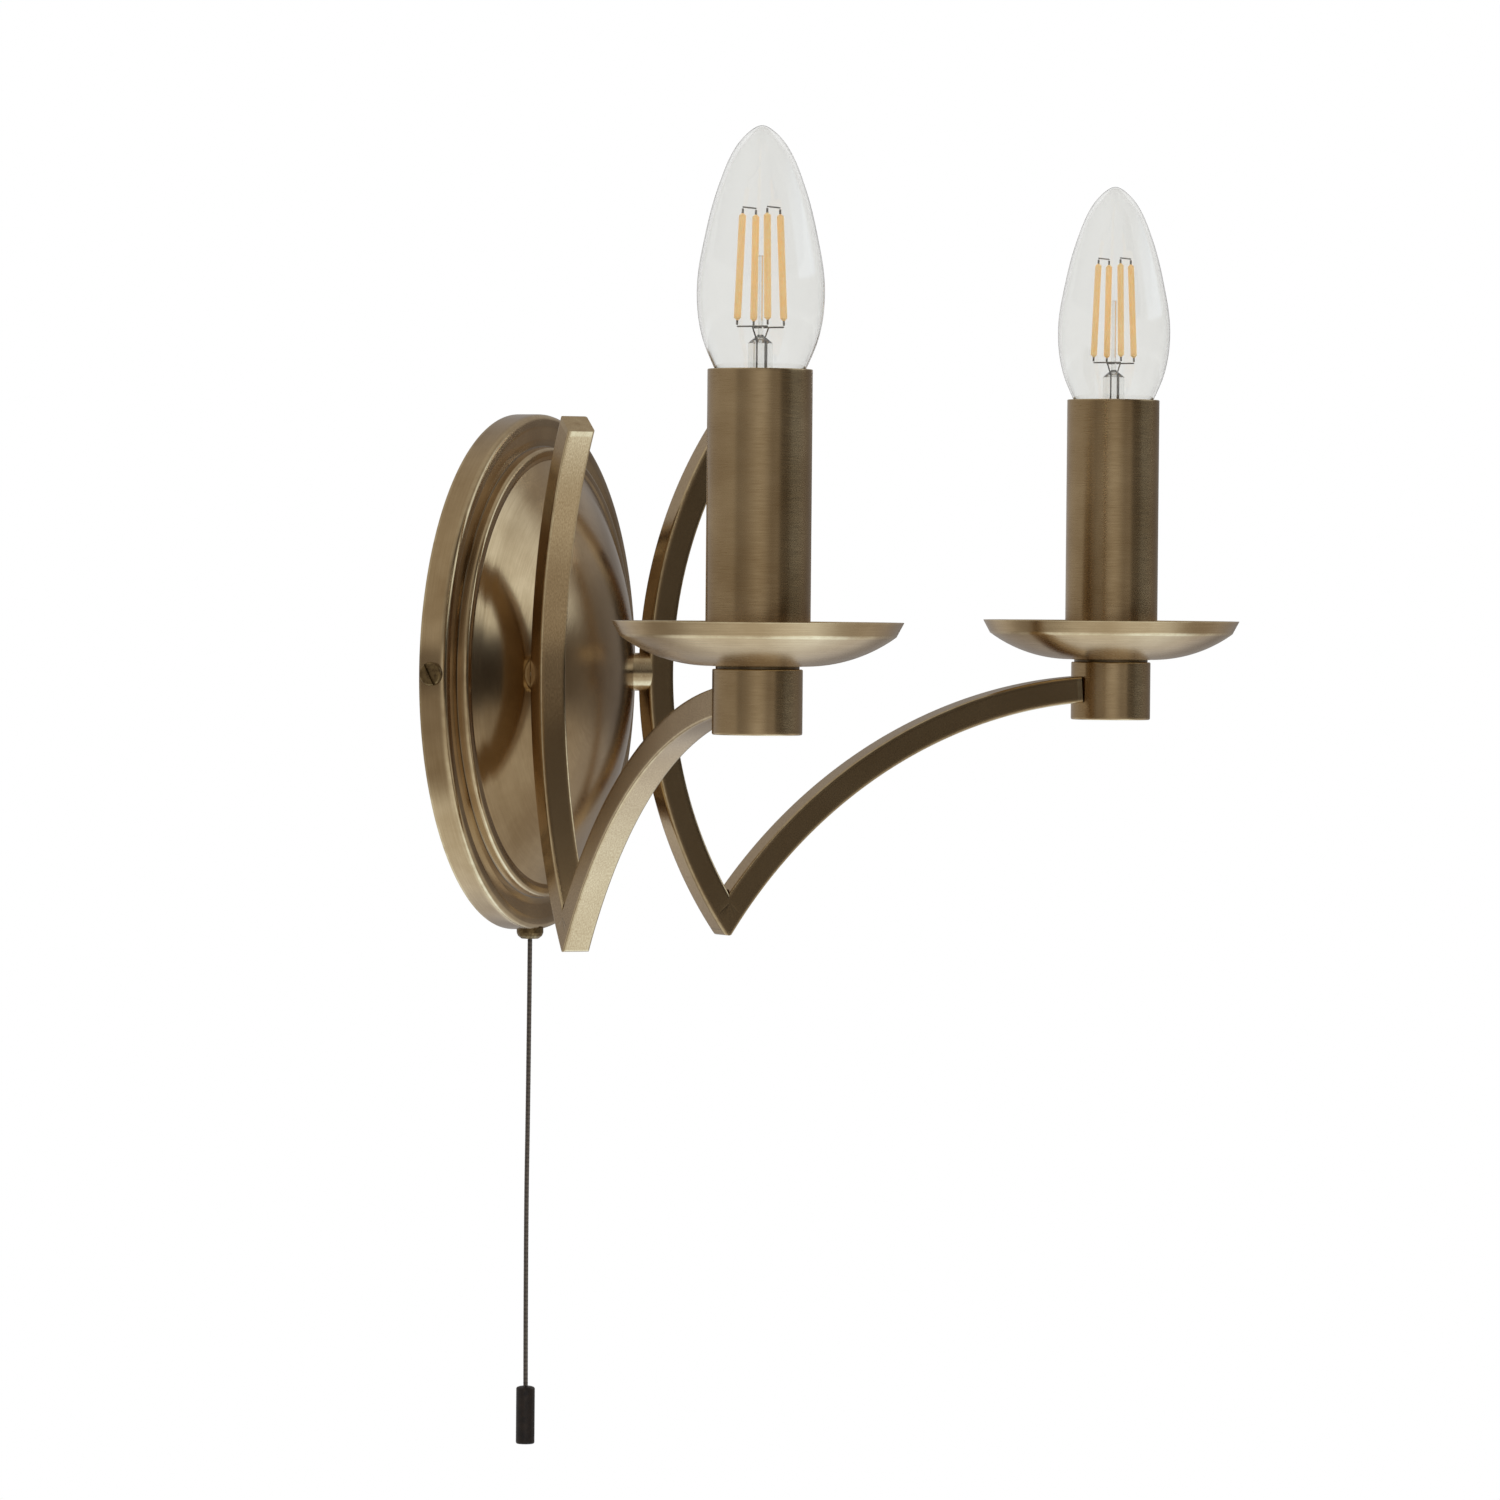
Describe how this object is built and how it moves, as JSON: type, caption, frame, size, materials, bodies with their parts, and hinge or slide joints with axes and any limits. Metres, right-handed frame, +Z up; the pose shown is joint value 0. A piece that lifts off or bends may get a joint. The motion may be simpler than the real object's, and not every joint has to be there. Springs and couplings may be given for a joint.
{
  "type": "double arm candle wall light",
  "caption": "Double arm wall light with a round domed plate, curved square arms, drip dishes, candle tubes, candle-shaped bulbs and a pull cord switch.",
  "frame": {"origin": "middle of the two wall screw slots, on the wall's face", "axes": "+Y into the wall, +Z up, the two arms spread to -X and +X and stand out towards -Y"},
  "size_m": [0.3996, 0.1757, 0.3833],
  "materials": {
    "antique_brass": "satin antique lacquer over brushed metal, aged brown",
    "candle_brass": "satin antique lacquer, fine turned grain round the tube",
    "dark_collar": "dark satin antique lacquer",
    "zinc_steel": "zinc plated, satin",
    "screw_brass": "bright brass",
    "block_plastic": "moulded, matt",
    "wire_sheath": "smooth flexible sheath",
    "switch_plastic": "moulded, matt",
    "pull_cord": "fine braided cord",
    "pull_weight": "dark bronze lacquer, satin",
    "holder_plastic": "moulded heat-proof plastic, matt",
    "contact_brass": "drawn brass",
    "bulb_glass": "clear, smooth",
    "cap_nickel": "rolled thin metal, satin",
    "bulb_insulator": "dark fused glass, shiny",
    "solder": "dull solder",
    "filament": "amber translucent coating, satin",
    "lead_wire": "drawn wire"
  },
  "bodies": {
    "fixture": {"plate_cover": "antique_brass", "plate_side_screws": "antique_brass", "switch_ferrule": "antique_brass", "wall_strap": "zinc_steel", "arm_nuts": "zinc_steel", "arm_washers": "zinc_steel", "terminal_screws": "zinc_steel", "earth_screw": "screw_brass", "terminal_block": "block_plastic", "switch_leads": "wire_sheath", "switch_body": "switch_plastic", "switch_back": "switch_plastic", "left_arm_upright": "antique_brass", "left_arm_branch": "antique_brass", "left_arm_boss": "antique_brass", "left_lamp_cup": "antique_brass", "left_drip_dish": "antique_brass", "left_arm_nipple": "zinc_steel", "left_lampholder_nipple": "zinc_steel", "left_lampholder_nuts": "zinc_steel", "left_cup_collar": "dark_collar", "left_candle_tube": "candle_brass", "left_lampholder_body": "holder_plastic", "left_lampholder_sleeve": "contact_brass", "left_lampholder_contact": "contact_brass", "left_lamp_wire": "wire_sheath", "right_arm_upright": "antique_brass", "right_arm_branch": "antique_brass", "right_arm_boss": "antique_brass", "right_lamp_cup": "antique_brass", "right_drip_dish": "antique_brass", "right_arm_nipple": "zinc_steel", "right_lampholder_nipple": "zinc_steel", "right_lampholder_nuts": "zinc_steel", "right_cup_collar": "dark_collar", "right_candle_tube": "candle_brass", "right_lampholder_body": "holder_plastic", "right_lampholder_sleeve": "contact_brass", "right_lampholder_contact": "contact_brass", "right_lamp_wire": "wire_sheath"},
    "switch_drum": {"switch_drum": "switch_plastic"},
    "puller": {"cord_link": "pull_cord"},
    "cord": {"pull_cord": "pull_cord", "pull_weight": "pull_weight"},
    "left_bulb_lift": {"left_bulb_tip_contact": "solder"},
    "left_bulb": {"left_bulb_glass": "bulb_glass", "left_bulb_cap": "cap_nickel", "left_bulb_insulator": "bulb_insulator", "left_bulb_stem": "bulb_glass", "left_bulb_filaments": "filament", "left_bulb_leads": "lead_wire"},
    "right_bulb_lift": {"right_bulb_tip_contact": "solder"},
    "right_bulb": {"right_bulb_glass": "bulb_glass", "right_bulb_cap": "cap_nickel", "right_bulb_insulator": "bulb_insulator", "right_bulb_stem": "bulb_glass", "right_bulb_filaments": "filament", "right_bulb_leads": "lead_wire"}
  },
  "joints": [
    {"name": "cord_pull", "type": "slide", "parent": "fixture", "child": "puller", "axis": [0, 0, -1], "range_m": [0, 0.008], "stiffness_N_per_m": 600, "springref_m": -0.0008},
    {"name": "switch_turn", "type": "hinge", "parent": "fixture", "child": "switch_drum", "pos_m": [-0.005, -0.0043, -0.055], "axis": [0, 1, 0], "range_deg": [0, 92]},
    {"name": "cord_swing", "type": "hinge", "parent": "puller", "child": "cord", "pos_m": [0, -0.0043, -0.0798], "axis": [0, 1, 0], "range_deg": [-25, 25]},
    {"name": "left_bulb_lift", "type": "slide", "parent": "fixture", "child": "left_bulb_lift", "axis": [0, 0, 1], "range_m": [0, 0.01128]},
    {"name": "left_bulb_turn", "type": "hinge", "parent": "left_bulb_lift", "child": "left_bulb", "pos_m": [-0.15981, -0.13504, 0.09], "axis": [0, 0, 1], "range_deg": [0, 1440]},
    {"name": "right_bulb_lift", "type": "slide", "parent": "fixture", "child": "right_bulb_lift", "axis": [0, 0, 1], "range_m": [0, 0.01128]},
    {"name": "right_bulb_turn", "type": "hinge", "parent": "right_bulb_lift", "child": "right_bulb", "pos_m": [0.15981, -0.13504, 0.09], "axis": [0, 0, 1], "range_deg": [0, 1440]}
  ],
  "couplings": [
    {"joint": "switch_turn", "follows": "cord_pull", "rad_per_m": 200},
    {"joint": "left_bulb_turn", "follows": "left_bulb_lift", "rad_per_m": 2228.1},
    {"joint": "right_bulb_turn", "follows": "right_bulb_lift", "rad_per_m": 2228.1}
  ]
}
